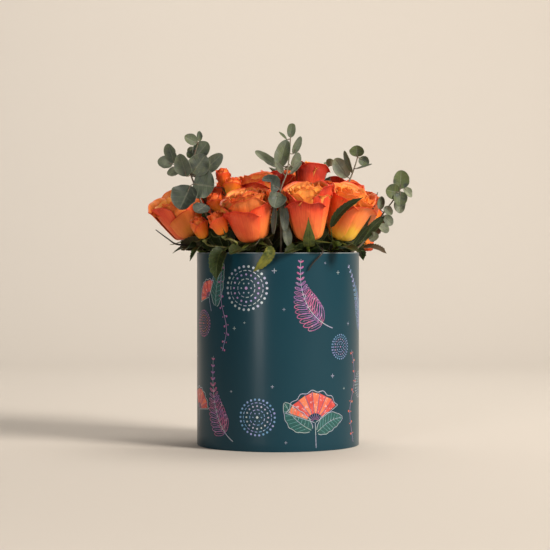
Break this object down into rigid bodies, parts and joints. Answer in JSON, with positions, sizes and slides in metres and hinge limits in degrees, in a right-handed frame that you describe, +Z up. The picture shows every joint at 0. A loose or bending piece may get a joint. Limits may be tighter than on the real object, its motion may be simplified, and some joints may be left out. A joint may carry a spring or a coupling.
{
  "type": "rose box",
  "caption": "Round board gift box filled with orange roses, small spray roses and eucalyptus, set in wet foam inside a waterproof liner.",
  "frame": {"origin": "centre of the underside of the box, on the surface that it stands on", "axes": "+Z up along the box's axis, -Y the front that the picture shows, +X the right-hand side seen from the front"},
  "size_m": [0.2852, 0.216, 0.344],
  "materials": {
    "printed_board": "satin",
    "plain_board": "matte",
    "liner_film": "gloss",
    "wet_foam": "matte",
    "rose_petal": "satin",
    "spray_petal": "satin",
    "rose_green": "satin",
    "eucalyptus": "matte"
  },
  "bodies": {
    "root": {"box_wall": "printed_board", "box_foot": "plain_board", "liner": "liner_film", "foam": "wet_foam", "left_rose": "rose_petal", "front_left_rose": "rose_petal", "front_right_rose": "rose_petal", "right_front_rose": "rose_petal", "right_rose": "rose_petal", "middle_left_rose": "rose_petal", "middle_right_rose": "rose_petal", "inner_right_rose": "rose_petal", "right_back_rose": "rose_petal", "centre_rose": "rose_petal", "back_right_rose": "rose_petal", "back_rose": "rose_petal", "back_left_rose": "rose_petal", "left_back_rose": "rose_petal", "inner_left_rose": "rose_petal", "left_stem": "rose_green", "front_left_stem": "rose_green", "front_right_stem": "rose_green", "right_front_stem": "rose_green", "right_stem": "rose_green", "middle_left_stem": "rose_green", "middle_right_stem": "rose_green", "inner_right_stem": "rose_green", "right_back_stem": "rose_green", "centre_stem": "rose_green", "back_right_stem": "rose_green", "back_stem": "rose_green", "back_left_stem": "rose_green", "left_back_stem": "rose_green", "inner_left_stem": "rose_green", "left_spray": "rose_green", "right_spray": "rose_green", "bud_1": "spray_petal", "bud_2": "spray_petal", "bud_3": "spray_petal", "bud_4": "spray_petal", "bud_5": "spray_petal", "bud_6": "spray_petal", "bud_7": "spray_petal", "eucalyptus_left": "eucalyptus", "eucalyptus_middle": "eucalyptus", "eucalyptus_right": "eucalyptus", "eucalyptus_low_right": "eucalyptus", "eucalyptus_back": "eucalyptus", "eucalyptus_back_left": "eucalyptus", "eucalyptus_back_right": "eucalyptus"}
  },
  "joints": []
}
